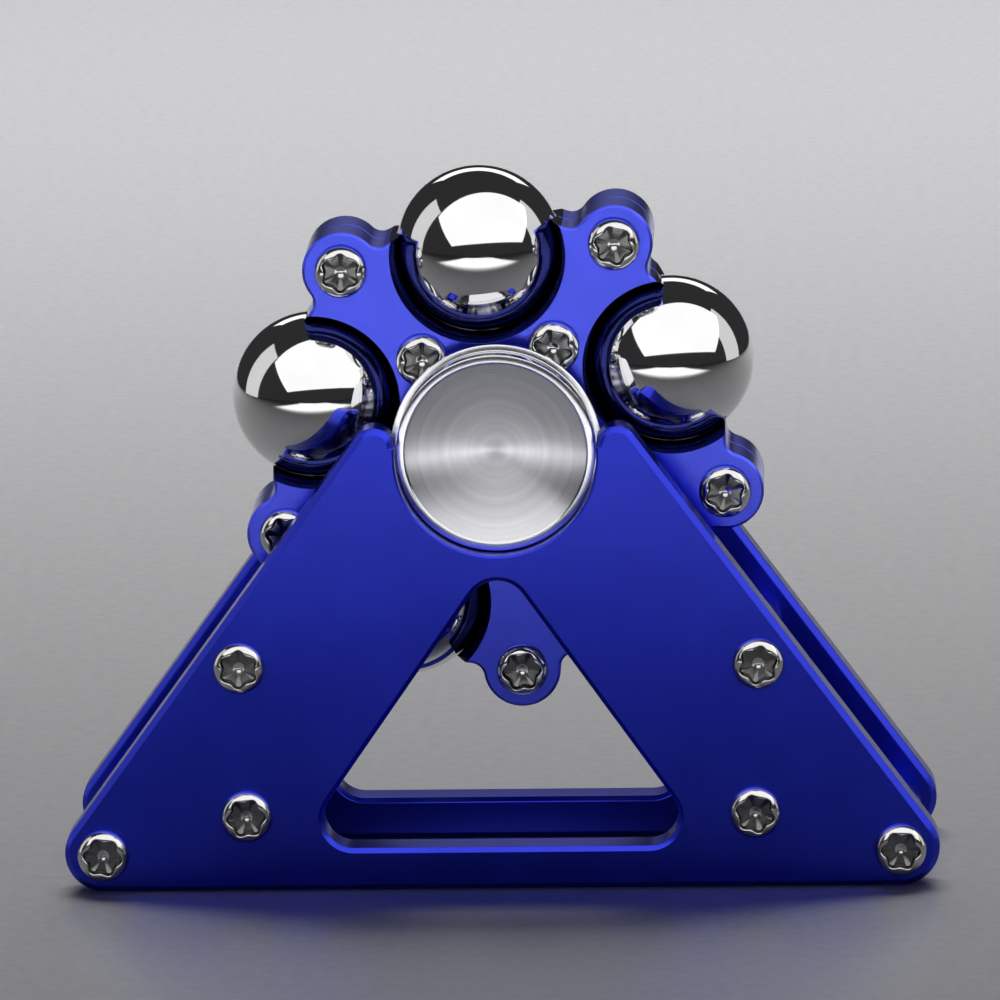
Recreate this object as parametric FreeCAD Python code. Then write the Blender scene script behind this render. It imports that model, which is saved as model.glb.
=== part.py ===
import FreeCAD, Part
import math
import os

# Desk fidget spinner: a five-arm wheel carrying five steel balls spins on a ball bearing,
# and its two finger caps rest in open cradles at the tops of two A-shaped stand plates.
# Millimetres.  X is to the right, Y to the back, Z up.  The origin is on the table,
# under the middle of the stand.  Every turned piece lies along the wheel's axis, which is Y.

# ---- stand ----
PLATE_THICKNESS = 3.4
PLATE_GAP = 13.4
CORNER_X = 30.6
CORNER_Z = 3.0
EDGE_MARGIN = 3.0
MIDDLE_X = 19.5
MIDDLE_Z = 6.0
UPPER_X = 19.85
UPPER_Z = 17.65
PLATE_CHAMFER = 0.45
SHOULDER_TOP_Z = 36.05

# ---- window in each stand plate ----
WINDOW_BOTTOM_Z = 3.3
WINDOW_SLOPE_DEG = 55.0
WINDOW_SIDE_OFFSET = 14.85
WINDOW_CORNER_R = 2.35
WINDOW_CHAMFER = 0.35

# ---- wheel axis and cradle ----
AXIS_Z = 33.8
CRADLE_R = 7.7
CRADLE_BEVEL = 0.15

# ---- wheel ----
ARMS = 5
ARM_PHASE_DEG = 59.2
WHEEL_HALF_THICKNESS = 4.1
WHEEL_DISC_R = 17.5
LOBE_RING_R = 17.86
LOBE_R = 2.98
NOTCH_R = 1.1
WHEEL_CHAMFER = 0.2
SEAM_CHAMFER = 0.1
INNER_SCREW_RING_R = 8.62
BALL_R = 6.35
BALL_RING_R = 14.52
SEAT_R = 6.43
POCKET_MOUTH_R = 6.75
POCKET_LIP_R = 6.1
POCKET_BEVEL_DEPTH = 2.15
HUB_LIP_R = 5.4

# ---- screws (M2 thread, pan heads with a six-lobe socket) ----
THREAD_R = 0.97
TAPPED_R = 1.0
CLEARANCE_R = 1.15
HEAD_R = 2.0
HEAD_HEIGHT = 1.25
HEAD_ROUNDING = 0.9
RECESS_DEPTH = 0.85
RECESS_CORE_R = 1.25
RECESS_LOBES = 6
RECESS_LOBE_R = 0.45
RECESS_LOBE_RING_R = 1.13
STANDOFF_R = 1.75
STANDOFF_TAP_DEPTH = 5.4
STANDOFF_CHAMFER = 0.2
STAND_SCREW_LENGTH = 8.0
ARM_SCREW_LENGTH = 7.6

# ---- ball bearing, 6.35 bore x 12.7 outside x 4.762 wide ----
BEARING_BORE_R = 3.175
BEARING_OUTER_R = 6.35
BEARING_HALF_WIDTH = 2.381
BEARING_PITCH_R = 4.7625
BEARING_BALL_R = 0.794
BEARING_BALLS = 10
RACEWAY_R = 0.844
INNER_RING_OUTSIDE_R = 4.25
OUTER_RING_INSIDE_R = 5.27
CAGE_INSIDE_R = 4.55
CAGE_OUTSIDE_R = 4.97
CAGE_POCKET_R = 0.88
CAGE_FRONT_Y = -0.3
CAGE_BACK_Y = 1.45
SHIELD_INSIDE_R = 4.55
SHIELD_OUTSIDE_R = 5.45
SHIELD_THICKNESS = 0.2
SHIELD_RECESS_R = 5.5
SHIELD_RECESS_DEPTH = 0.3

# ---- finger caps and the stud that joins them ----
CAP_R = 7.6
CAP_FACE_Y = 8.45
CAP_RIM_BREAK = 0.12
CAP_RIM_INSIDE_R = 7.05
CAP_DISH_R = 6.95
CAP_RIM_BEVEL_DEPTH = 0.1
CAP_DISH_DEPTH = 1.4
FLANGE_R = 8.05
FLANGE_FRONT_Y = 6.55
FLANGE_BACK_Y = 5.95
HUB_R = 4.1
WASHER_INSIDE_R = 3.2
WASHER_OUTSIDE_R = 4.1
WASHER_THICKNESS = 0.619
BOSS_R = 3.16
BOSS_END_Y = 0.3
STUD_R = 1.47
STUD_HOLE_R = 1.5
STUD_HALF_LENGTH = 4.4
STUD_HOLE_END_Y = 4.7
STUD_SOCKET_R = 0.75
STUD_SOCKET_DEPTH = 1.5

# ---- worked out from the sizes above ----
PLATE_INNER_Y = PLATE_GAP / 2
PLATE_OUTER_Y = PLATE_INNER_Y + PLATE_THICKNESS
FRONT = -1
REAR = 1
AXLE_DIRECTION = FreeCAD.Vector(0, 1, 0)
PAST = 1.0


def point(x, y, z):
    return FreeCAD.Vector(x, y, z)


def ring_place(radius, angle_deg):
    """X and Z of a place on a circle round the wheel's axis, at an angle from +X."""
    angle = math.radians(angle_deg)
    return radius * math.cos(angle), AXIS_Z + radius * math.sin(angle)


def cylinder(radius, y_from, y_to, x=0.0, z=AXIS_Z):
    low = min(y_from, y_to)
    return Part.makeCylinder(radius, abs(y_to - y_from), point(x, low, z), AXLE_DIRECTION)


def cone(radius_at_from, radius_at_to, y_from, y_to, x=0.0, z=AXIS_Z):
    direction = AXLE_DIRECTION * math.copysign(1.0, y_to - y_from)
    return Part.makeCone(
        radius_at_from, radius_at_to, abs(y_to - y_from), point(x, y_from, z), direction
    )


def tube(inside_r, outside_r, y_from, y_to, x=0.0, z=AXIS_Z):
    bore = cylinder(inside_r, min(y_from, y_to) - PAST, max(y_from, y_to) + PAST, x, z)
    return cylinder(outside_r, y_from, y_to, x, z).cut(bore)


def sphere(radius, x, y, z):
    return Part.makeSphere(radius, point(x, y, z))


def turned(profile, x=0.0, z=AXIS_Z):
    """Solid turned about the Y direction through (x, z) from (radius, y) edges."""
    face = Part.Face(Part.Wire(profile))
    return face.revolve(point(x, 0, z), AXLE_DIRECTION, 360)


def profile_line(start, end, x=0.0, z=AXIS_Z):
    return Part.LineSegment(
        point(x + start[0], start[1], z), point(x + end[0], end[1], z)
    ).toShape()


def profile_lines(corners, x=0.0, z=AXIS_Z):
    return [profile_line(a, b, x, z) for a, b in zip(corners[:-1], corners[1:])]


def fused(solids):
    result = solids[0]
    for solid in solids[1:]:
        result = result.fuse(solid)
    return result.removeSplitter()


def save(node, shape):
    shape.exportStep(os.path.join("parts", node + ".step"))
    print(node, len(shape.Solids), "solid(s)", round(shape.Volume, 2), "mm3", shape.isValid())


# ---------------------------------------------------------------- fasteners

def recess(x, z, face_y, side):
    """Six-lobe socket cut into a screw head, with a conical drill point at its end."""
    bottom = face_y - side * RECESS_DEPTH
    mouth = face_y + side * PAST
    cutters = [cylinder(RECESS_CORE_R, bottom, mouth, x, z)]
    for step in range(RECESS_LOBES):
        angle = math.radians(90 + step * 360 / RECESS_LOBES)
        lobe_x = x + RECESS_LOBE_RING_R * math.cos(angle)
        lobe_z = z + RECESS_LOBE_RING_R * math.sin(angle)
        cutters.append(cylinder(RECESS_LOBE_R, bottom, mouth, lobe_x, lobe_z))
    return fused(cutters)


def pan_head(x, z, seat_y, side):
    """Round head that stands from seat_y towards side, with a rounded shoulder and a level top."""
    edge_y = seat_y + side * (HEAD_HEIGHT - HEAD_ROUNDING)
    top_y = seat_y + side * HEAD_HEIGHT
    top_r = HEAD_R - HEAD_ROUNDING
    halfway = HEAD_ROUNDING * math.sin(math.radians(45))
    middle = point(x + top_r + halfway, edge_y + side * halfway, z)
    edge = Part.Arc(point(x + HEAD_R, edge_y, z), middle, point(x + top_r, top_y, z)).toShape()
    sides = profile_lines(
        [(top_r, top_y), (0, top_y), (0, seat_y), (HEAD_R, seat_y), (HEAD_R, edge_y)], x, z
    )
    return turned(sides + [edge], x, z)


def pan_head_screw(x, z, seat_y, side, length):
    tip_y = seat_y - side * length
    point_y = tip_y + side * THREAD_R / 2
    head = pan_head(x, z, seat_y, side).cut(recess(x, z, seat_y + side * HEAD_HEIGHT, side))
    shank = cylinder(THREAD_R, seat_y, point_y, x, z)
    end = cone(THREAD_R, THREAD_R / 2, point_y, tip_y, x, z)
    return fused([head, shank, end])


# ---------------------------------------------------------------- stand

def stand_holes():
    places = {}
    for name, x, z in (
        ("upper", UPPER_X, UPPER_Z),
        ("middle", MIDDLE_X, MIDDLE_Z),
        ("corner", CORNER_X, CORNER_Z),
    ):
        places[name + "_left"] = (-x, z)
        places[name + "_right"] = (x, z)
    return places


def arc_about(centre_x, centre_z, radius, from_deg, to_deg, y):
    def at(angle_deg):
        angle = math.radians(angle_deg)
        return point(centre_x + radius * math.cos(angle), y, centre_z + radius * math.sin(angle))
    return Part.Arc(at(from_deg), at((from_deg + to_deg) / 2), at(to_deg)).toShape()


def joined(arcs):
    """Closed wire of the given edges, with straight runs between them."""
    edges = []
    for index, arc in enumerate(arcs):
        following = arcs[(index + 1) % len(arcs)]
        edges.append(arc)
        end = arc.lastVertex(True).Point
        start = following.firstVertex(True).Point
        if end.distanceToPoint(start) > 1e-6:
            edges.append(Part.LineSegment(end, start).toShape())
    return Part.Wire(edges)


def stand_outline(y):
    """A-shape: round corners, sloping sides and two round shoulders, level between them."""
    slope_deg = math.degrees(math.atan2(UPPER_Z - CORNER_Z, CORNER_X - UPPER_X))
    normal_deg = 90 - slope_deg
    normal_x = math.cos(math.radians(normal_deg))
    normal_z = math.sin(math.radians(normal_deg))
    side_offset = CORNER_X * normal_x + CORNER_Z * normal_z + EDGE_MARGIN
    shoulder_r = (side_offset - CRADLE_R * normal_x - SHOULDER_TOP_Z * normal_z) / (
        1 + normal_x - normal_z
    )
    shoulder_x = CRADLE_R + shoulder_r
    shoulder_z = SHOULDER_TOP_Z - shoulder_r
    return joined([
        arc_about(CORNER_X, CORNER_Z, EDGE_MARGIN, -90, normal_deg, y),
        arc_about(shoulder_x, shoulder_z, shoulder_r, normal_deg, 180, y),
        arc_about(-shoulder_x, shoulder_z, shoulder_r, 0, 180 - normal_deg, y),
        arc_about(-CORNER_X, CORNER_Z, EDGE_MARGIN, 180 - normal_deg, 270, y),
    ])


def window_outline(y):
    """Triangle with rounded corners."""
    normal_deg = 90 - WINDOW_SLOPE_DEG
    normal_x = math.cos(math.radians(normal_deg))
    normal_z = math.sin(math.radians(normal_deg))
    corner_z = WINDOW_BOTTOM_Z + WINDOW_CORNER_R
    corner_x = (WINDOW_SIDE_OFFSET - WINDOW_CORNER_R - corner_z * normal_z) / normal_x
    apex_z = (WINDOW_SIDE_OFFSET - WINDOW_CORNER_R) / normal_z
    return joined([
        arc_about(corner_x, corner_z, WINDOW_CORNER_R, -90, normal_deg, y),
        arc_about(0, apex_z, WINDOW_CORNER_R, normal_deg, 180 - normal_deg, y),
        arc_about(-corner_x, corner_z, WINDOW_CORNER_R, 180 - normal_deg, 270, y),
    ])


def slab(wire, y_from, y_to):
    return Part.Face(wire).extrude(point(0, y_to - y_from, 0))


def rim_edges(shape, y):
    """Edges that lie flat in the plane at y."""
    found = []
    for edge in shape.Edges:
        box = edge.BoundBox
        if abs(box.YMin - y) < 1e-4 and abs(box.YMax - y) < 1e-4:
            found.append(edge)
    return found


def between_shoulders(edge):
    """True for the level edges of the outline, which the cradle cuts away."""
    box = edge.BoundBox
    return box.ZMax - box.ZMin < 1e-4 and box.ZMin > AXIS_Z


def window_cutter(y_from, y_to):
    """The opening, widened to a bevel where it meets each face of the plate."""
    straight = slab(window_outline(y_from - PAST), y_from - PAST, y_to + PAST)
    bevels = []
    for face_y, inward in ((y_from, 1), (y_to, -1)):
        inner = window_outline(face_y + inward * WINDOW_CHAMFER)
        outer = window_outline(face_y).makeOffset2D(WINDOW_CHAMFER)
        bevels.append(Part.makeLoft([inner, outer], True, True))
    return fused([straight] + bevels)


def cradle_cutter(y_from, y_to):
    """Round seat for a finger cap, with its edges just broken on both faces of the plate."""
    cutters = [cylinder(CRADLE_R, y_from - PAST, y_to + PAST)]
    for face_y, outward in ((y_from, -1), (y_to, 1)):
        cutters.append(cone(
            CRADLE_R,
            CRADLE_R + CRADLE_BEVEL + PAST,
            face_y - outward * CRADLE_BEVEL,
            face_y + outward * PAST,
        ))
    return fused(cutters)


def stand_plate(side):
    y_from = min(side * PLATE_INNER_Y, side * PLATE_OUTER_Y)
    y_to = y_from + PLATE_THICKNESS
    plate = slab(stand_outline(y_from), y_from, y_to)
    rims = rim_edges(plate, y_from) + rim_edges(plate, y_to)
    plate = plate.makeChamfer(PLATE_CHAMFER, [e for e in rims if not between_shoulders(e)])
    plate = plate.cut(cradle_cutter(y_from, y_to))
    plate = plate.cut(window_cutter(y_from, y_to))
    for x, z in stand_holes().values():
        plate = plate.cut(cylinder(CLEARANCE_R, y_from - PAST, y_to + PAST, x, z))
    return plate


def standoff(x, z):
    half = PLATE_INNER_Y
    body = cylinder(STANDOFF_R, -half, half, x, z)
    body = body.makeChamfer(STANDOFF_CHAMFER, rim_edges(body, -half) + rim_edges(body, half))
    for side in (FRONT, REAR):
        tap = cylinder(
            TAPPED_R, side * (half + PAST), side * (half - STANDOFF_TAP_DEPTH), x, z
        )
        body = body.cut(tap)
    return body


def stand_screws(side):
    seat_y = side * PLATE_OUTER_Y
    screws = [
        pan_head_screw(x, z, seat_y, side, STAND_SCREW_LENGTH) for x, z in stand_holes().values()
    ]
    return Part.makeCompound(screws)


# ---------------------------------------------------------------- wheel

def arm_angles():
    return [ARM_PHASE_DEG + arm * 360 / ARMS for arm in range(ARMS)]


def ball_places():
    return [ring_place(BALL_RING_R, angle + 180 / ARMS) for angle in arm_angles()]


def wheel_outline(y):
    """Round rim with five round lobes, blended by a small hollow curve at each side."""
    blend_ring_r = WHEEL_DISC_R + NOTCH_R
    blend = math.acos(
        (blend_ring_r ** 2 + LOBE_RING_R ** 2 - (LOBE_R + NOTCH_R) ** 2)
        / (2 * blend_ring_r * LOBE_RING_R)
    )
    lobe_deg = math.degrees(math.atan2(
        blend_ring_r * math.sin(blend), blend_ring_r * math.cos(blend) - LOBE_RING_R
    ))
    blend_deg = math.degrees(blend)
    arcs = []
    for angle in arm_angles():
        inward = angle + 180
        lobe_x, lobe_z = ring_place(LOBE_RING_R, angle)
        near_x, near_z = ring_place(blend_ring_r, angle - blend_deg)
        far_x, far_z = ring_place(blend_ring_r, angle + blend_deg)
        arcs += [
            arc_about(near_x, near_z, NOTCH_R, inward - blend_deg, inward - lobe_deg, y),
            arc_about(lobe_x, lobe_z, LOBE_R, angle - lobe_deg, angle + lobe_deg, y),
            arc_about(far_x, far_z, NOTCH_R, inward + lobe_deg, inward + blend_deg, y),
            arc_about(
                0, AXIS_Z, WHEEL_DISC_R, angle + blend_deg, angle + 360 / ARMS - blend_deg, y
            ),
        ]
    return joined(arcs)


def ball_pocket(x, z, side):
    """Round seat that holds a ball behind a lip, with a steep bevel out to the wheel's face."""
    face_y = side * WHEEL_HALF_THICKNESS
    lip_y = face_y - side * POCKET_BEVEL_DEPTH
    widening = (POCKET_MOUTH_R - POCKET_LIP_R) * PAST / POCKET_BEVEL_DEPTH
    mouth = cone(
        POCKET_MOUTH_R + widening, POCKET_LIP_R, face_y + side * PAST, lip_y, x, z
    )
    return fused([sphere(SEAT_R, x, 0, z), mouth])


def wheel_plate(side):
    """Half of the wheel, split at the mid plane so that the two halves close on the balls."""
    face_y = side * WHEEL_HALF_THICKNESS
    body = slab(wheel_outline(0), 0, face_y)
    body = body.makeChamfer(WHEEL_CHAMFER, rim_edges(body, face_y))
    body = body.makeChamfer(SEAM_CHAMFER, rim_edges(body, 0))
    for x, z in ball_places():
        body = body.cut(ball_pocket(x, z, side))
    body = body.cut(cylinder(BEARING_OUTER_R, -side * PAST, side * BEARING_HALF_WIDTH))
    body = body.cut(cylinder(HUB_LIP_R, 0, face_y + side * PAST))
    hole_r = CLEARANCE_R if side == FRONT else TAPPED_R
    for ring_r in (LOBE_RING_R, INNER_SCREW_RING_R):
        for angle in arm_angles():
            x, z = ring_place(ring_r, angle)
            body = body.cut(cylinder(hole_r, -side * PAST, face_y + side * PAST, x, z))
    return body.removeSplitter()


def arm_screws(ring_r):
    screws = []
    for angle in arm_angles():
        x, z = ring_place(ring_r, angle)
        screws.append(pan_head_screw(x, z, FRONT * WHEEL_HALF_THICKNESS, FRONT, ARM_SCREW_LENGTH))
    return Part.makeCompound(screws)


# ---------------------------------------------------------------- bearing

def raceway():
    return Part.makeTorus(BEARING_PITCH_R, RACEWAY_R, point(0, 0, AXIS_Z), AXLE_DIRECTION)


def bearing_inner_ring():
    ring = tube(
        BEARING_BORE_R, INNER_RING_OUTSIDE_R, -BEARING_HALF_WIDTH, BEARING_HALF_WIDTH
    )
    return ring.cut(raceway())


def bearing_outer_ring():
    ring = tube(
        OUTER_RING_INSIDE_R, BEARING_OUTER_R, -BEARING_HALF_WIDTH, BEARING_HALF_WIDTH
    )
    ring = ring.cut(raceway())
    for side in (FRONT, REAR):
        recess_y = side * (BEARING_HALF_WIDTH - SHIELD_RECESS_DEPTH)
        ring = ring.cut(cylinder(SHIELD_RECESS_R, recess_y, side * (BEARING_HALF_WIDTH + PAST)))
    return ring


def bearing_shield(side):
    back_y = side * (BEARING_HALF_WIDTH - SHIELD_RECESS_DEPTH)
    return tube(SHIELD_INSIDE_R, SHIELD_OUTSIDE_R, back_y, back_y + side * SHIELD_THICKNESS)


def bearing_ball_places():
    return [ring_place(BEARING_PITCH_R, n * 360 / BEARING_BALLS) for n in range(BEARING_BALLS)]


def bearing_balls():
    return Part.makeCompound([sphere(BEARING_BALL_R, x, 0, z) for x, z in bearing_ball_places()])


def bearing_cage():
    """Crown cage: a thin ring with a round pocket for each ball, open at the front."""
    cage = tube(CAGE_INSIDE_R, CAGE_OUTSIDE_R, CAGE_FRONT_Y, CAGE_BACK_Y)
    for x, z in bearing_ball_places():
        cage = cage.cut(sphere(CAGE_POCKET_R, x, 0, z))
    return cage


# ---------------------------------------------------------------- finger caps

def finger_cap(side):
    """Turned cap: dished face, rim, locating flange, hub and a boss inside the bearing."""
    hollow = CAP_DISH_DEPTH - CAP_RIM_BEVEL_DEPTH
    sphere_r = (CAP_DISH_R ** 2 + hollow ** 2) / (2 * hollow)
    half_angle = math.asin(CAP_DISH_R / sphere_r) / 2
    face_y = side * CAP_FACE_Y
    bevel_y = side * (CAP_FACE_Y - CAP_RIM_BEVEL_DEPTH)
    dish_y = side * (CAP_FACE_Y - CAP_DISH_DEPTH)
    dish_middle = point(
        sphere_r * math.sin(half_angle),
        dish_y + side * sphere_r * (1 - math.cos(half_angle)),
        AXIS_Z,
    )
    dish = Part.Arc(
        point(0, dish_y, AXIS_Z), dish_middle, point(CAP_DISH_R, bevel_y, AXIS_Z)
    ).toShape()
    washer_y = side * (BEARING_HALF_WIDTH + WASHER_THICKNESS)
    outline = [
        (CAP_DISH_R, bevel_y),
        (CAP_RIM_INSIDE_R, face_y),
        (CAP_R - CAP_RIM_BREAK, face_y),
        (CAP_R, face_y - side * CAP_RIM_BREAK),
        (CAP_R, side * FLANGE_FRONT_Y),
        (FLANGE_R, side * FLANGE_FRONT_Y),
        (FLANGE_R, side * FLANGE_BACK_Y),
        (HUB_R, side * FLANGE_BACK_Y),
        (HUB_R, washer_y),
        (BOSS_R, washer_y),
        (BOSS_R, side * BOSS_END_Y),
        (STUD_HOLE_R, side * BOSS_END_Y),
        (STUD_HOLE_R, side * STUD_HOLE_END_Y),
        (0, side * STUD_HOLE_END_Y),
        (0, dish_y),
    ]
    return turned(profile_lines(outline) + [dish])


def spacer_washer(side):
    near_y = side * BEARING_HALF_WIDTH
    return tube(WASHER_INSIDE_R, WASHER_OUTSIDE_R, near_y, near_y + side * WASHER_THICKNESS)


def cap_stud():
    """Headless threaded stud with a hexagon socket, which screws into both caps."""
    stud = cylinder(STUD_R, -STUD_HALF_LENGTH, STUD_HALF_LENGTH)
    socket_y = STUD_HALF_LENGTH - STUD_SOCKET_DEPTH
    corners = []
    for step in range(7):
        angle = math.radians(step * 60)
        corners.append(point(
            STUD_SOCKET_R * math.cos(angle), socket_y, AXIS_Z + STUD_SOCKET_R * math.sin(angle)
        ))
    socket = Part.Face(Part.makePolygon(corners)).extrude(point(0, STUD_SOCKET_DEPTH + PAST, 0))
    return stud.cut(socket)


# ---------------------------------------------------------------- write every node

def main():
    os.makedirs("parts", exist_ok=True)
    for name, side in (("front", FRONT), ("rear", REAR)):
        save("stand_plate_" + name, stand_plate(side))
        save("stand_screws_" + name, stand_screws(side))
        save("wheel_plate_" + name, wheel_plate(side))
        save("bearing_shield_" + name, bearing_shield(side))
        save("finger_cap_" + name, finger_cap(side))
        save("spacer_washer_" + name, spacer_washer(side))
    for name, (x, z) in stand_holes().items():
        save("standoff_" + name, standoff(x, z))
    for number, (x, z) in enumerate(ball_places(), start=1):
        save("weight_ball_" + str(number), sphere(BALL_R, x, 0, z))
    save("arm_screws_outer", arm_screws(LOBE_RING_R))
    save("arm_screws_inner", arm_screws(INNER_SCREW_RING_R))
    save("bearing_inner_ring", bearing_inner_ring())
    save("bearing_outer_ring", bearing_outer_ring())
    save("bearing_cage", bearing_cage())
    save("bearing_balls", bearing_balls())
    save("cap_stud", cap_stud())


main()
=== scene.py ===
import math

import bmesh
import bpy
from mathutils import Matrix, Vector


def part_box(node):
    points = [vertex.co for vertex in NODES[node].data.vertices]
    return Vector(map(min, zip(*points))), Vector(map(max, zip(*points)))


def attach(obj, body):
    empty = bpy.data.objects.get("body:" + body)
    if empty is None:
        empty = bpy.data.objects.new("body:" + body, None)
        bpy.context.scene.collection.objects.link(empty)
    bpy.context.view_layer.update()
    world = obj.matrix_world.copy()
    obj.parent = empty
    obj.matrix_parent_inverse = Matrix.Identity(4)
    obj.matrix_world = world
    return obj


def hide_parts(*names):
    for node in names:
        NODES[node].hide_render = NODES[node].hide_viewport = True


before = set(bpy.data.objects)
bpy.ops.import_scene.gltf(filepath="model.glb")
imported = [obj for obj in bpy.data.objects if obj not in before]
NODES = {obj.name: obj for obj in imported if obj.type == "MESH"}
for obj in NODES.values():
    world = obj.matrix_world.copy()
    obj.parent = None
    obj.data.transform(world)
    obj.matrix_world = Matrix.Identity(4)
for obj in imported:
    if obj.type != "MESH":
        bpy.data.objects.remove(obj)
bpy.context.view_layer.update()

# Visual model of a desk fidget spinner: a blue anodised wheel with five steel balls spins
# between two turned finger caps, which rest in the cradles of a blue two-plate stand.
# Metres.  X is to the right, Y to the back, Z up, and the table is at Z = 0.

MM = 0.001

# The wheel's axis runs along Y through the middle of the centre bearing.
BEARING_LOW, BEARING_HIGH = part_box("bearing_outer_ring")
AXIS = (BEARING_LOW + BEARING_HIGH) / 2
FRONT = -1
REAR = 1
BALLS = 5
PLATE_FRONT_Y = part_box("stand_plate_front")[0].y
PLATE_REAR_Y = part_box("stand_plate_rear")[1].y
WHEEL_FRONT_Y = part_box("wheel_plate_front")[0].y


# ================================================================ meshes

WELD = 2e-6
FLAT_MERGE_DEG = 0.4
SHARP_DEG = 28
EDGE_SEGMENTS = 3
FACE_WEIGHT = 50
TIP_R = 1e-7
ALL_SMOOTH_DEG = 180


def new_object(name, mesh, body, replaced, material):
    """Links a mesh as a piece that rides on a body and stands for CAD nodes."""
    obj = bpy.data.objects.new(name, mesh)
    bpy.context.scene.collection.objects.link(obj)
    mesh.materials.clear()
    mesh.materials.append(material)
    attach(obj, body)
    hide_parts(*replaced)
    return obj


def smooth(bm, crease_deg):
    """Smooth shading, with edges sharper than the angle kept crisp."""
    bmesh.ops.recalc_face_normals(bm, faces=bm.faces)
    limit = math.radians(crease_deg)
    for edge in bm.edges:
        edge.smooth = not (edge.is_manifold and edge.calc_face_angle(0.0) > limit)
    for face in bm.faces:
        face.smooth = True


def finished(bm, name, crease_deg):
    smooth(bm, crease_deg)
    mesh = bpy.data.meshes.new(name)
    bm.to_mesh(mesh)
    bm.free()
    return mesh


def welded(cad_node):
    """The CAD node's mesh with the vertices its triangles share joined up."""
    bm = bmesh.new()
    bm.from_mesh(NODES[cad_node].data)
    bmesh.ops.remove_doubles(bm, verts=bm.verts, dist=WELD)
    return bm


def softened_copy(cad_node, radius):
    """Mesh of a CAD node with its flat areas merged and its sharp edges rounded off."""
    bm = welded(cad_node)
    bmesh.ops.dissolve_limit(
        bm, angle_limit=math.radians(FLAT_MERGE_DEG), verts=bm.verts, edges=bm.edges
    )
    mesh = finished(bm, cad_node + "_sharp", ALL_SMOOTH_DEG)
    temporary = bpy.data.objects.new(cad_node + "_work", mesh)
    bpy.context.scene.collection.objects.link(temporary)
    bevel = temporary.modifiers.new("edges", "BEVEL")
    bevel.width = radius
    bevel.segments = EDGE_SEGMENTS
    bevel.limit_method = "ANGLE"
    bevel.angle_limit = math.radians(SHARP_DEG)
    bevel.miter_outer = "MITER_ARC"
    bevel.use_clamp_overlap = True
    normals = temporary.modifiers.new("flat_faces_stay_flat", "WEIGHTED_NORMAL")
    normals.mode = "FACE_AREA"
    normals.weight = FACE_WEIGHT
    normals.keep_sharp = True
    depsgraph = bpy.context.evaluated_depsgraph_get()
    result = bpy.data.meshes.new_from_object(
        temporary.evaluated_get(depsgraph), preserve_all_data_layers=True, depsgraph=depsgraph
    )
    bpy.data.objects.remove(temporary)
    return result


def round_ring(bm, x, y, z, radius, segments):
    """Ring of vertices about the Y direction; with no radius it is one vertex, a tip."""
    if radius < TIP_R:
        return [bm.verts.new((x, y, z))]
    ring = []
    for step in range(segments):
        angle = 2 * math.pi * step / segments
        ring.append(bm.verts.new((
            x + radius * math.cos(angle), y, z + radius * math.sin(angle)
        )))
    return ring


def lathe(profile, segments, crease_deg):
    """Surface turned about the wheel's axis from (radius, y) points."""
    bm = bmesh.new()
    rings = [round_ring(bm, AXIS.x, y, AXIS.z, radius, segments) for radius, y in profile]
    bridge(bm, rings)
    return finished(bm, "turned", crease_deg)


def bridge(bm, rings):
    """Faces between neighbouring rings of vertices; a ring of one vertex is a tip."""
    for near, far in zip(rings[:-1], rings[1:]):
        count = max(len(near), len(far))
        for step in range(count):
            following = (step + 1) % count
            corners = [near[step % len(near)]]
            if len(near) > 1:
                corners.append(near[following])
            if len(far) > 1:
                corners.append(far[following])
            corners.append(far[step % len(far)])
            bm.faces.new(corners)


# ================================================================ materials

CAP_RIM_INSIDE_R = 7.05 * MM
DISH_FINISH_R = 6.85 * MM
RIM_ROUGHNESS = 0.12
QUARTER_TURN = 0.25


def new_material(name):
    material = bpy.data.materials.new(name)
    material.use_nodes = True
    return material, material.node_tree


def node(tree, kind, inputs=None, **settings):
    made = tree.nodes.new(kind)
    for key, value in settings.items():
        setattr(made, key, value)
    for key, value in (inputs or {}).items():
        if isinstance(value, bpy.types.NodeSocket):
            tree.links.new(value, made.inputs[key])
        else:
            made.inputs[key].default_value = value
    return made


def shader(tree):
    return tree.nodes["Principled BSDF"]


def place(tree):
    """Position in the object's own space, in metres."""
    return node(tree, "ShaderNodeTexCoord").outputs["Object"]


def noise(tree, scale, detail, coordinate=None):
    """Noise from 0 to 1; scale is how many blobs it has in a metre."""
    coordinate = coordinate or place(tree)
    return node(
        tree, "ShaderNodeTexNoise", {"Vector": coordinate, "Scale": scale, "Detail": detail}
    ).outputs["Fac"]


def mapped(tree, value, low, high, from_low=0.3, from_high=0.7):
    """Stretches the middle of a noise, or a range that is given, to low and high."""
    return node(tree, "ShaderNodeMapRange", {
        "Value": value, "From Min": from_low, "From Max": from_high,
        "To Min": low, "To Max": high,
    }).outputs["Result"]


def ramp(tree, value, stops):
    """Colour that follows a value through (position, colour) stops."""
    made = node(tree, "ShaderNodeValToRGB", {"Fac": value})
    elements = made.color_ramp.elements
    while len(elements) < len(stops):
        elements.new(0.5)
    for element, (position, colour) in zip(elements, stops):
        element.position = position
        element.color = (*colour, 1.0)
    return made.outputs["Color"]


def math_node(tree, operation, first, second=0.0):
    return node(tree, "ShaderNodeMath", {0: first, 1: second}, operation=operation).outputs[0]


def bump(tree, height, distance, strength):
    return node(
        tree, "ShaderNodeBump", {"Height": height, "Distance": distance, "Strength": strength}
    ).outputs["Normal"]


def connect(tree, values):
    for key, value in values.items():
        if isinstance(value, bpy.types.NodeSocket):
            tree.links.new(value, shader(tree).inputs[key])
        else:
            shader(tree).inputs[key].default_value = value


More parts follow.
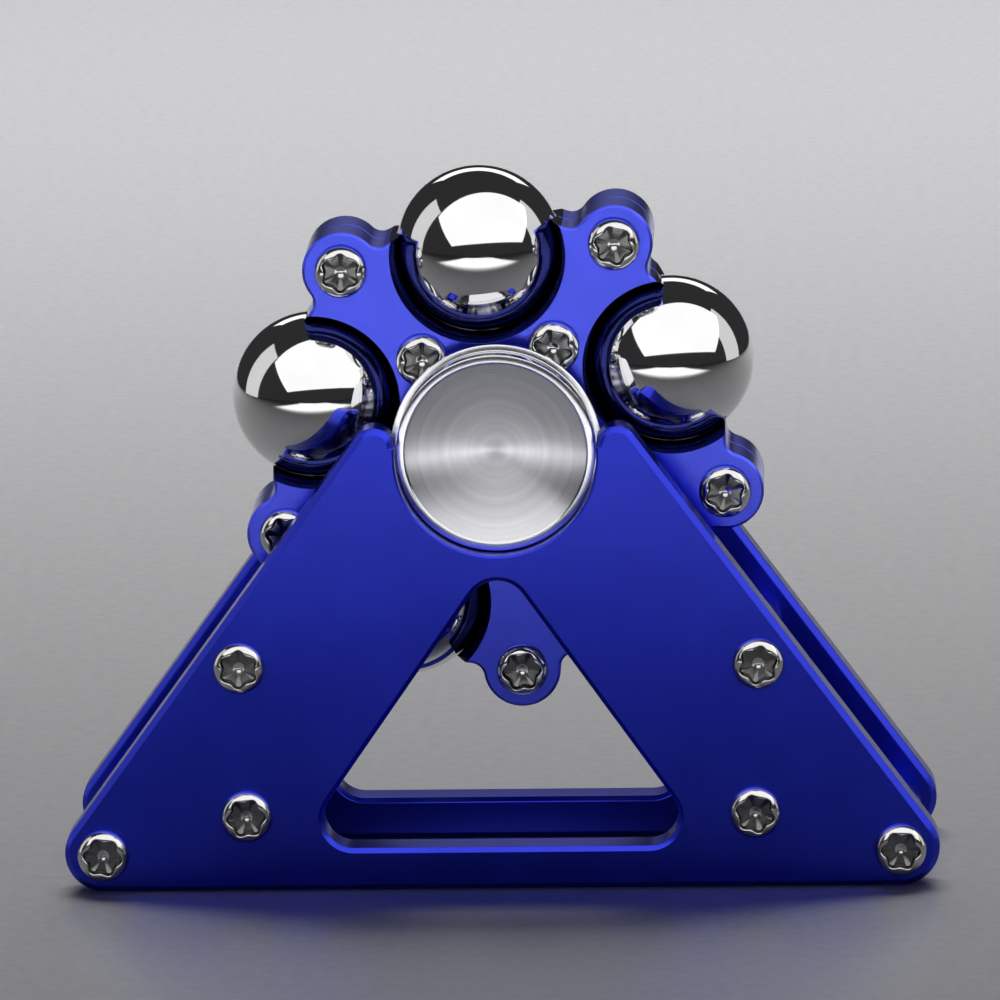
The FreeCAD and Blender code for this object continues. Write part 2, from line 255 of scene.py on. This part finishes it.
def distance_from_axis(tree):
    """Distance from the wheel's axis, in metres."""
    split = node(tree, "ShaderNodeSeparateXYZ", {"Vector": place(tree)})
    x = math_node(tree, "SUBTRACT", split.outputs["X"], AXIS.x)
    z = math_node(tree, "SUBTRACT", split.outputs["Z"], AXIS.z)
    return math_node(
        tree, "SQRT",
        math_node(tree, "ADD", math_node(tree, "POWER", x, 2.0), math_node(tree, "POWER", z, 2.0)),
    )


def anodised(name, light, dark, coat):
    """Satin anodised aluminium: fine blasted grain under a clear coloured oxide."""
    material, tree = new_material(name)
    cloud = noise(tree, scale=160.0, detail=3.0)
    grain = noise(tree, scale=7000.0, detail=3.0)
    patches = noise(tree, scale=900.0, detail=4.0)
    connect(tree, {
        "Base Color": ramp(tree, cloud, [(0.35, dark), (0.65, light)]),
        "Metallic": 1.0,
        "Roughness": mapped(tree, patches, low=0.29, high=0.33),
        "Normal": bump(tree, grain, distance=3e-6, strength=0.30),
        "Coat Weight": coat,
        "Coat Roughness": 0.22,
    })
    return material


def polished_steel(name, colour, roughness, mark_depth):
    """Bright steel with faint smears and hairline polishing marks; roughness is (low, high)."""
    material, tree = new_material(name)
    smear = noise(tree, scale=260.0, detail=4.0)
    hairs = noise(tree, scale=5200.0, detail=6.0)
    dim = [channel * 0.94 for channel in colour]
    connect(tree, {
        "Base Color": ramp(tree, smear, [(0.3, dim), (0.7, colour)]),
        "Metallic": 1.0,
        "Roughness": mapped(tree, smear, *roughness),
        "Normal": bump(tree, hairs, distance=mark_depth, strength=0.5),
    })
    return material


def machined_shaded_pocket(name, light, dark):
    """Wall of a ball seat: bored bright before anodising, so glossy, with fine cutter marks; its
    dark navy colour is painted shade.
    """
    material, tree = new_material(name)
    split = node(tree, "ShaderNodeSeparateXYZ", {"Vector": place(tree)})
    depth = node(tree, "ShaderNodeCombineXYZ", {"Y": split.outputs["Y"]}).outputs["Vector"]
    marks = noise(tree, scale=14000.0, detail=3.0, coordinate=depth)
    cloud = noise(tree, scale=240.0, detail=3.0)
    connect(tree, {
        "Base Color": ramp(tree, cloud, [(0.35, dark), (0.65, light)]),
        "Metallic": 1.0,
        "Roughness": mapped(tree, marks, low=0.10, high=0.16),
        "Normal": bump(tree, marks, distance=1e-6, strength=0.25),
        "Coat Weight": 0.5,
        "Coat Roughness": 0.08,
    })
    return material


def turned_aluminium(name, colour):
    """Lathe-turned aluminium: tool marks round the wheel's axis, and a brighter rim."""
    material, tree = new_material(name)
    radius = distance_from_axis(tree)
    ring_place = node(tree, "ShaderNodeCombineXYZ", {"X": radius}).outputs["Vector"]
    fine = noise(tree, scale=9000.0, detail=3.0, coordinate=ring_place)
    broad = noise(tree, scale=1500.0, detail=3.0, coordinate=ring_place)
    rings = math_node(tree, "ADD", fine, broad)
    dark = [channel * 0.86 for channel in colour]
    in_dish = mapped(
        tree, radius, low=0.0, high=1.0, from_low=CAP_RIM_INSIDE_R, from_high=DISH_FINISH_R
    )
    dish_marks = mapped(tree, fine, low=0.15, high=0.19)
    coarse = math_node(tree, "MULTIPLY", in_dish, dish_marks)
    connect(tree, {
        "Base Color": ramp(tree, broad, [(0.35, dark), (0.65, colour)]),
        "Metallic": 1.0,
        "Roughness": math_node(tree, "ADD", coarse, RIM_ROUGHNESS),
        "Anisotropic": 0.9,
        "Anisotropic Rotation": QUARTER_TURN,
        "Tangent": node(
            tree, "ShaderNodeTangent", direction_type="RADIAL", axis="Y"
        ).outputs["Tangent"],
        "Normal": bump(tree, rings, distance=6e-6, strength=0.35),
    })
    return material


def brass(name, light, dark):
    """Pressed brass strip with faint brown stains."""
    material, tree = new_material(name)
    stain = noise(tree, scale=700.0, detail=4.0)
    grain = noise(tree, scale=6000.0, detail=3.0)
    connect(tree, {
        "Base Color": ramp(tree, stain, [(0.3, dark), (0.7, light)]),
        "Metallic": 1.0,
        "Roughness": mapped(tree, stain, low=0.22, high=0.36),
        "Normal": bump(tree, grain, distance=3e-6, strength=0.4),
    })
    return material


def table_top(name, light, dark):
    """Plain pale table top with a faint grain and a soft sheen."""
    material, tree = new_material(name)
    grain = noise(tree, scale=900.0, detail=5.0)
    connect(tree, {
        "Base Color": ramp(tree, grain, [(0.3, dark), (0.7, light)]),
        "Roughness": 0.40,
        "Normal": bump(tree, grain, distance=2e-5, strength=0.25),
    })
    return material


# Colours are linear red, green and blue.
WHEEL_LIGHT = (0.048, 0.078, 0.98)
WHEEL_DARK = (0.041, 0.067, 0.90)
# Painted shade: the stand's plates and standoffs get a darker copy of the wheel's anodised blue.
STAND_SHADED_LIGHT = (0.014, 0.030, 0.66)
STAND_SHADED_DARK = (0.011, 0.025, 0.59)
# Painted shade: the walls of the ball seats get a dark navy, far darker than the wheel's blue.
SEAT_SHADED_LIGHT = (0.012, 0.020, 0.22)
SEAT_SHADED_DARK = (0.008, 0.014, 0.16)
BRASS_LIGHT = (0.66, 0.46, 0.18)
BRASS_DARK = (0.42, 0.26, 0.08)
TABLE_LIGHT = (0.46, 0.46, 0.47)
TABLE_DARK = (0.40, 0.40, 0.41)
WHEEL_COAT = 1.0
STAND_COAT = 0.45

# The stand's and standoffs' blues below are a darker copy of the wheel's: painted shade.
SHADED_PLATE_BLUE = anodised("anodised_blue_stand", STAND_SHADED_LIGHT, STAND_SHADED_DARK, STAND_COAT)
WHEEL_BLUE = anodised("anodised_blue_wheel", WHEEL_LIGHT, WHEEL_DARK, WHEEL_COAT)
# Painted shade: the seat walls' dark navy.
SHADED_POCKET_BLUE = machined_shaded_pocket("anodised_blue_seat_painted_shade", SEAT_SHADED_LIGHT, SEAT_SHADED_DARK)
SHADED_STANDOFF_BLUE = anodised("anodised_blue_standoff", STAND_SHADED_DARK, STAND_SHADED_LIGHT, STAND_COAT)
SCREW_STEEL = polished_steel("screw_steel", (0.72, 0.71, 0.70), (0.10, 0.17), 2e-6)
# Painted shade: the insides of the screw sockets are a much darker steel than the heads.
SHADED_SOCKET_STEEL = polished_steel("socket_steel_painted_shade", (0.20, 0.20, 0.20), (0.18, 0.30), 4e-6)
BALL_STEEL = polished_steel("ball_steel", (0.80, 0.80, 0.80), (0.035, 0.06), 2e-7)
BEARING_STEEL = polished_steel("bearing_steel", (0.62, 0.62, 0.63), (0.16, 0.24), 2e-6)
HARDWARE_STEEL = polished_steel("hardware_steel", (0.55, 0.55, 0.56), (0.22, 0.32), 3e-6)
CAP_ALUMINIUM = turned_aluminium("cap_aluminium", (0.82, 0.82, 0.85))
CAGE_BRASS = brass("cage_brass", BRASS_LIGHT, BRASS_DARK)


# ================================================================ blue parts

PLATE_EDGE = 0.12 * MM
WHEEL_EDGE = 0.06 * MM
STANDOFF_EDGE = 0.06 * MM
POCKET_WALL_R = 6.73 * MM
FLAT_FACE = 0.9


def stand_plates_and_wheel():
    for side in ("front", "rear"):
        plate = "stand_plate_" + side
        new_object(
            plate + "_anodised", softened_copy(plate, PLATE_EDGE), "stand",
            [plate], SHADED_PLATE_BLUE,
        )
        wheel = "wheel_plate_" + side
        wheel_object = new_object(
            wheel + "_anodised", softened_copy(wheel, WHEEL_EDGE), "wheel",
            [wheel], WHEEL_BLUE,
        )
        line_pockets(wheel_object.data)


def standoffs():
    for name in NODES:
        if name.startswith("standoff_"):
            new_object(
                name + "_anodised", softened_copy(name, STANDOFF_EDGE), "stand",
                [name], SHADED_STANDOFF_BLUE,
            )


def line_pockets(mesh):
    """Gives the walls of the ball pockets their own glossy machined finish, with painted shade as a
    dark navy colour.
    """
    mesh.materials.append(SHADED_POCKET_BLUE)
    boxes = [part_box("weight_ball_" + str(number)) for number in range(1, BALLS + 1)]
    centres = [(low + high) / 2 for low, high in boxes]
    for face in mesh.polygons:
        for centre in centres:
            away = face.center - centre
            away.y = 0.0
            if away.length < POCKET_WALL_R and abs(face.normal.y) < FLAT_FACE:
                face.material_index = 1


# ================================================================ screws

HEAD_R = 2.0 * MM
HEAD_HEIGHT = 1.25 * MM
HEAD_ROUNDING = 0.9 * MM
HEAD_FOOT_BREAK = 0.10 * MM
HEAD_FOOT_HEIGHT = 0.08 * MM
HEAD_STEPS = 9
SOCKET_MIDDLE_R = 1.38 * MM
SOCKET_LOBE = 0.14 * MM
SOCKET_LOBES = 6
SOCKET_LIP = 0.09 * MM
SOCKET_MARGIN = 0.04 * MM
LIP_MIDDLE_GROW = 0.45
LIP_MIDDLE_DROP = 0.35
SOCKET_WALL_END = 0.97
SOCKET_FLOOR_START = 0.90
SOCKET_DEPTH = 0.85 * MM
SOCKET_CORNER = 0.12 * MM
SOCKET_FLOOR_R = 0.45 * MM
SOCKET_FLOOR_SLOPE = 0.03 * MM
SOCKET_DRILL_DEPTH = 0.12 * MM
SOCKET_TIP_DEPTH = 0.18 * MM
SHANK_R = 0.96 * MM
SHANK_ROOT_R = 0.82 * MM
SHANK_NECK = 0.5 * MM
SHANK_END = 0.5 * MM
SHANK_TAPER = 0.9
SHANK_TIP = 0.55
PITCH = 0.4 * MM
SEAT_MARGIN = 0.15 * MM
FIRST_TURN_DEG = 8
NEXT_TURN_DEG = 23
HEAD_SEGMENTS = 144
SHANK_SEGMENTS = 32
SCREW_CREASE_DEG = 50


def head_height(radius):
    """Height of a screw head's top above its seat, at a radius."""
    lean = max(0.0, min(1.0, (radius - HEAD_R + HEAD_ROUNDING) / HEAD_ROUNDING))
    return HEAD_HEIGHT - HEAD_ROUNDING * (1 - math.sqrt(1 - lean ** 2))


def socket_radius(angle, turn):
    """Distance from a screw's middle to the wall of its six-lobe socket."""
    return SOCKET_MIDDLE_R + SOCKET_LOBE * math.cos(SOCKET_LOBES * (angle + turn))


def head_rings():
    """(radius, height) of the round rings up a head's side, from its seat to its socket."""
    rings = [(HEAD_R - HEAD_FOOT_BREAK, 0.0), (HEAD_R, HEAD_FOOT_HEIGHT)]
    inner = SOCKET_MIDDLE_R + SOCKET_LOBE + SOCKET_LIP + SOCKET_MARGIN
    last = math.asin((inner - HEAD_R + HEAD_ROUNDING) / HEAD_ROUNDING)
    for step in range(HEAD_STEPS + 1):
        lean = math.pi / 2 + (last - math.pi / 2) * step / HEAD_STEPS
        radius = HEAD_R - HEAD_ROUNDING + HEAD_ROUNDING * math.sin(lean)
        rings.append((radius, head_height(radius)))
    return rings


def socket_outlines(turn):
    """Outlines from the socket's lip down to its floor: each gives (radius, height) at an angle."""
    floor_height = HEAD_HEIGHT - SOCKET_DEPTH

    def lip(grow, drop):
        def outline(angle):
            radius = socket_radius(angle, turn) + grow
            return radius, head_height(radius) - drop
        return outline

    def wall(shrink, height):
        return lambda angle: (socket_radius(angle, turn) * shrink, height)

    return [
        lip(SOCKET_LIP, 0.0),
        lip(SOCKET_LIP * LIP_MIDDLE_GROW, SOCKET_LIP * LIP_MIDDLE_DROP),
        lip(0.0, SOCKET_LIP),
        wall(SOCKET_WALL_END, floor_height + SOCKET_CORNER),
        wall(SOCKET_FLOOR_START, floor_height),
        circle(SOCKET_FLOOR_R, floor_height - SOCKET_FLOOR_SLOPE),
        circle(SOCKET_FLOOR_R / 2, floor_height - SOCKET_DRILL_DEPTH),
    ]


def circle(radius, height):
    return lambda angle: (radius, height)


def add_head(bm, x, z, seat_y, side, turn):
    """Pan head with its socket; side is the way the head points along Y."""
    def ring(outline):
        made = []
        for step in range(HEAD_SEGMENTS):
            angle = 2 * math.pi * step / HEAD_SEGMENTS
            radius, height = outline(angle)
            made.append(bm.verts.new((
                x + radius * math.cos(angle), seat_y + side * height, z + radius * math.sin(angle)
            )))
        return made

    side_outlines = [circle(radius, height) for radius, height in head_rings()]
    rings = [ring(outline) for outline in side_outlines + socket_outlines(turn)]
    tip_height = HEAD_HEIGHT - SOCKET_DEPTH - SOCKET_TIP_DEPTH
    tip = [bm.verts.new((x, seat_y + side * tip_height, z))]
    bridge(bm, rings + [tip])
    bridge(bm, [ring(circle(SHANK_R, 0.0)), rings[0]])


def add_shank(bm, x, z, seat_y, side, length):
    """Shank with a ridge for each turn of its thread and a tapered end."""
    profile = [(SHANK_R, 0.0)]
    ridges = int((length - SHANK_NECK - SHANK_END) / PITCH)
    for ridge in range(ridges):
        depth = SHANK_NECK + ridge * PITCH
        profile.append((SHANK_R, depth))
        profile.append((SHANK_ROOT_R, depth + PITCH / 2))
    profile.append((SHANK_R * SHANK_TAPER, length - SHANK_END))
    profile.append((SHANK_R * SHANK_TIP, length))
    profile.append((0.0, length))
    rings = [
        round_ring(bm, x, seat_y - side * depth, z, radius, SHANK_SEGMENTS)
        for radius, depth in profile
    ]
    bridge(bm, rings)


def screw_centres(cad_node):
    """Middle of each separate solid of a screw node, seen along Y."""
    bm = welded(cad_node)
    waiting = set(bm.verts)
    centres = []
    while waiting:
        stack = [waiting.pop()]
        island = []
        while stack:
            vertex = stack.pop()
            island.append(vertex.co.copy())
            for edge in vertex.link_edges:
                other = edge.other_vert(vertex)
                if other in waiting:
                    waiting.remove(other)
                    stack.append(other)
        xs = [co.x for co in island]
        zs = [co.z for co in island]
        centres.append(((min(xs) + max(xs)) / 2, (min(zs) + max(zs)) / 2))
    bm.free()
    return sorted(centres)


def screws(cad_node, body, side, seat_y):
    """One piece that holds every screw of a CAD node, each turned a little further."""
    low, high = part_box(cad_node)
    tip_y = high.y if side == FRONT else low.y
    length = abs(tip_y - seat_y)
    centres = screw_centres(cad_node)
    bm = bmesh.new()
    for number, (x, z) in enumerate(centres):
        turn = math.radians(FIRST_TURN_DEG + NEXT_TURN_DEG * number)
        add_head(bm, x, z, seat_y, side, turn)
        add_shank(bm, x, z, seat_y, side, length)
    mesh = finished(bm, cad_node + "_mesh", SCREW_CREASE_DEG)
    new_object(cad_node + "_steel", mesh, body, [cad_node], SCREW_STEEL)
    line_sockets(mesh, centres, seat_y, side)


def line_sockets(mesh, centres, seat_y, side):
    """Gives the inside of each screw's socket painted shade: a much darker steel than the head."""
    mesh.materials.append(SHADED_SOCKET_STEEL)
    for face in mesh.polygons:
        height = side * (face.center.y - seat_y)
        for x, z in centres:
            radius = math.hypot(face.center.x - x, face.center.z - z)
            in_socket = SOCKET_FLOOR_R < radius < SOCKET_MIDDLE_R + SOCKET_LOBE
            below_lip = SEAT_MARGIN < height < head_height(radius) - SOCKET_LIP
            if in_socket and below_lip:
                face.material_index = 1


def all_screws():
    screws("stand_screws_front", "stand", FRONT, PLATE_FRONT_Y)
    screws("stand_screws_rear", "stand", REAR, PLATE_REAR_Y)
    screws("arm_screws_outer", "wheel", FRONT, WHEEL_FRONT_Y)
    screws("arm_screws_inner", "wheel", FRONT, WHEEL_FRONT_Y)


# ================================================================ balls

BALL_DIVISIONS = 6


def round_ball(centre, radius):
    bm = bmesh.new()
    bmesh.ops.create_icosphere(
        bm, subdivisions=BALL_DIVISIONS, radius=radius, matrix=Matrix.Translation(centre)
    )
    return finished(bm, "ball", ALL_SMOOTH_DEG)


def weight_balls():
    for number in range(1, BALLS + 1):
        cad_node = "weight_ball_" + str(number)
        low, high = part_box(cad_node)
        new_object(
            cad_node + "_polished", round_ball((low + high) / 2, (high.y - low.y) / 2),
            "ball_" + str(number), [cad_node], BALL_STEEL,
        )


# ================================================================ finger caps

CAP_RIM_R = 7.6 * MM
CAP_DISH_R = 6.95 * MM
CAP_RIM_BEVEL_DEPTH = 0.1 * MM
CAP_DISH_DEPTH = 1.4 * MM
CAP_FLANGE_FRONT = 6.55 * MM
CAP_FLANGE_BACK = 5.95 * MM
CAP_HUB_R = 4.1 * MM
CAP_HUB_END = 3.0 * MM
CAP_BOSS_R = 3.16 * MM
CAP_HOLE_R = 1.5 * MM
CAP_HOLE_END = 4.7 * MM
CAP_DRILL_TIP = 0.4 * MM
CAP_EDGE = 0.10 * MM
CAP_EDGE_MIDDLE = 0.03 * MM
CAP_DISH_EDGE = 0.03 * MM
FLANGE_EDGE = 0.06 * MM
FLANGE_FILLET = 0.03 * MM
DISH_STEPS = 40
CAP_SEGMENTS = 256
CAP_CREASE_DEG = 30


def dish_profile(face):
    """(radius, y) points of the cap's round dish, from its middle to its edge."""
    hollow = CAP_DISH_DEPTH - CAP_RIM_BEVEL_DEPTH
    sphere_r = (CAP_DISH_R ** 2 + hollow ** 2) / (2 * hollow)
    points = []
    for step in range(DISH_STEPS + 1):
        radius = (CAP_DISH_R - CAP_DISH_EDGE) * step / DISH_STEPS
        rise = sphere_r - math.sqrt(sphere_r ** 2 - radius ** 2)
        points.append((radius, face - CAP_DISH_DEPTH + rise))
    return points


def cap_profile(side):
    """(radius, y) outline of a finger cap, from the middle of its dish round to its boss."""
    low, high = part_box("finger_cap_front")
    face = -low.y
    boss_end = -high.y
    flange_r = (high.x - low.x) / 2
    points = dish_profile(face) + [
        (CAP_DISH_R, face - CAP_RIM_BEVEL_DEPTH),
        (CAP_RIM_INSIDE_R, face),
        (CAP_RIM_R - CAP_EDGE, face),
        (CAP_RIM_R - CAP_EDGE_MIDDLE, face - CAP_EDGE_MIDDLE),
        (CAP_RIM_R, face - CAP_EDGE),
        (CAP_RIM_R, CAP_FLANGE_FRONT + FLANGE_FILLET),
        (CAP_RIM_R + FLANGE_FILLET, CAP_FLANGE_FRONT),
        (flange_r - FLANGE_EDGE, CAP_FLANGE_FRONT),
        (flange_r, CAP_FLANGE_FRONT - FLANGE_EDGE),
        (flange_r, CAP_FLANGE_BACK + FLANGE_EDGE),
        (flange_r - FLANGE_EDGE, CAP_FLANGE_BACK),
        (CAP_HUB_R, CAP_FLANGE_BACK),
        (CAP_HUB_R, CAP_HUB_END),
        (CAP_BOSS_R, CAP_HUB_END),
        (CAP_BOSS_R, boss_end + CAP_EDGE),
        (CAP_BOSS_R - CAP_EDGE, boss_end),
        (CAP_HOLE_R, boss_end),
        (CAP_HOLE_R, CAP_HOLE_END),
        (0.0, CAP_HOLE_END + CAP_DRILL_TIP),
    ]
    return [(radius, side * y) for radius, y in points]


def finger_caps():
    for name, side in (("front", FRONT), ("rear", REAR)):
        cad_node = "finger_cap_" + name
        mesh = lathe(cap_profile(side), CAP_SEGMENTS, CAP_CREASE_DEG)
        new_object(
            cad_node + "_turned", mesh, "axle", [cad_node], CAP_ALUMINIUM
        )


# ================================================================ hidden hardware

def plain_finish():
    """CAD nodes whose shape is right keep it and get a finished surface."""
    finishes = {
        "bearing_inner_ring": BEARING_STEEL,
        "bearing_outer_ring": BEARING_STEEL,
        "bearing_shield_front": BEARING_STEEL,
        "bearing_shield_rear": BEARING_STEEL,
        "bearing_balls": BALL_STEEL,
        "bearing_cage": CAGE_BRASS,
        "cap_stud": HARDWARE_STEEL,
        "spacer_washer_front": HARDWARE_STEEL,
        "spacer_washer_rear": HARDWARE_STEEL,
    }
    for name, material in finishes.items():
        obj = NODES[name]
        obj.data.materials.clear()
        obj.data.materials.append(material)


# ================================================================ stage, lights, camera

FLOOR_HALF = 1.5
CAMERA_AZIMUTH_DEG = 2.12
CAMERA_ELEVATION_DEG = 11.30
CAMERA_ROLL_DEG = 0.98
CAMERA_DISTANCE = 0.6907
CAMERA_AIM = Vector((-0.02, -0.24, 28.52)) * MM
CAMERA_LENS = 321.95
CAMERA_SENSOR = 36.0
CAMERA_CLIP_START = 0.05
AIR_COLOUR = (0.030, 0.030, 0.032, 1.0)
LIGHT_MIDDLE = Vector((0.0, 0.0, 0.035))


def floor():
    mesh = bpy.data.meshes.new("table_top")
    signs = [(-1, -1), (1, -1), (1, 1), (-1, 1)]
    corners = [(x * FLOOR_HALF, y * FLOOR_HALF, 0.0) for x, y in signs]
    mesh.from_pydata(corners, [], [(0, 1, 2, 3)])
    mesh.materials.append(table_top("pale_table", TABLE_LIGHT, TABLE_DARK))
    obj = bpy.data.objects.new("table_top", mesh)
    bpy.context.scene.collection.objects.link(obj)


def direction(azimuth_deg, elevation_deg):
    """Unit vector from the object; azimuth 0 is the front (-Y), positive to the right."""
    azimuth = math.radians(azimuth_deg)
    elevation = math.radians(elevation_deg)
    return Vector((
        math.sin(azimuth) * math.cos(elevation),
        -math.cos(azimuth) * math.cos(elevation),
        math.sin(elevation),
    ))


def area_light(name, position, aim, width, height, radiance, spread_deg=180):
    """Rectangular softbox; radiance is how bright its face looks."""
    data = bpy.data.lights.new(name, "AREA")
    data.shape = "RECTANGLE"
    data.size = width
    data.size_y = height
    data.energy = radiance * math.pi * width * height
    data.spread = math.radians(spread_deg)
    obj = bpy.data.objects.new(name, data)
    bpy.context.scene.collection.objects.link(obj)
    obj.location = position
    obj.rotation_euler = (Vector(aim) - Vector(position)).to_track_quat("-Z", "Y").to_euler()
    return obj


def facing_light(name, azimuth_deg, elevation_deg, distance, width, height, radiance):
    """Softbox that faces the object from a direction."""
    position = LIGHT_MIDDLE + direction(azimuth_deg, elevation_deg) * distance
    return area_light(name, position, LIGHT_MIDDLE, width, height, radiance)


def lights():
    """A wide front softbox, a card on each side, a low back light, and lights for the table."""
    front = facing_light(
        "front_softbox", azimuth_deg=15, elevation_deg=54, distance=0.75,
        width=2.3, height=1.16, radiance=1.25,
    )
    left = facing_light(
        "left_card", azimuth_deg=-97, elevation_deg=22, distance=0.60,
        width=0.30, height=0.55, radiance=0.75,
    )
    right = facing_light(
        "right_card", azimuth_deg=97, elevation_deg=22, distance=0.60,
        width=0.30, height=0.55, radiance=0.75,
    )
    spare_floor([front, left, right])
    facing_light(
        "back_light", azimuth_deg=180, elevation_deg=28, distance=0.90,
        width=0.70, height=0.22, radiance=1.4,
    )
    area_light(
        "table_light_front", (0.0, -0.37, 0.60), (0.0, -0.37, 0.0),
        width=0.38, height=0.46, radiance=3.8, spread_deg=8,
    )
    back = area_light(
        "table_light_back", (0.0, 0.50, 0.80), (0.0, 0.42, 0.0),
        width=1.0, height=0.5, radiance=2.1, spread_deg=70,
    )
    light_only_table(back)


def air():
    """Dim even light from all around."""
    world = bpy.data.worlds.new("studio")
    world.use_nodes = True
    background = world.node_tree.nodes["Background"]
    background.inputs["Color"].default_value = AIR_COLOUR
    background.inputs["Strength"].default_value = 1.0
    bpy.context.scene.world = world


def spare_floor(lamps):
    """The lamps reach everything but the table top, which would otherwise go too bright."""
    unlit = bpy.data.collections.new("not_lit_by_softboxes")
    unlit.objects.link(bpy.data.objects["table_top"])
    unlit.collection_objects[0].light_linking.link_state = "EXCLUDE"
    for lamp in lamps:
        lamp.light_linking.receiver_collection = unlit


def light_only_table(lamp):
    """The lamp reaches the table top and nothing else."""
    lit = bpy.data.collections.new("lit_by_back_light")
    lit.objects.link(bpy.data.objects["table_top"])
    lamp.light_linking.receiver_collection = lit


def camera():
    """Long lens, a little above the table and to the right, with a slight roll."""
    data = bpy.data.cameras.new("camera")
    data.sensor_width = CAMERA_SENSOR
    data.lens = CAMERA_LENS
    data.clip_start = CAMERA_CLIP_START
    obj = bpy.data.objects.new("camera", data)
    bpy.context.scene.collection.objects.link(obj)
    back = direction(CAMERA_AZIMUTH_DEG, CAMERA_ELEVATION_DEG)
    azimuth = math.radians(CAMERA_AZIMUTH_DEG)
    level = Vector((math.cos(azimuth), math.sin(azimuth), 0.0))
    upright = back.cross(level)
    roll = math.radians(CAMERA_ROLL_DEG)
    right = math.cos(roll) * level - math.sin(roll) * upright
    up = math.sin(roll) * level + math.cos(roll) * upright
    turn = Matrix((right, up, back)).transposed().to_4x4()
    obj.matrix_world = Matrix.Translation(CAMERA_AIM + back * CAMERA_DISTANCE) @ turn
    bpy.context.scene.camera = obj


stand_plates_and_wheel()
standoffs()
all_screws()
weight_balls()
finger_caps()
plain_finish()
floor()
lights()
air()
camera()
bpy.context.scene.view_settings.view_transform = "Standard"
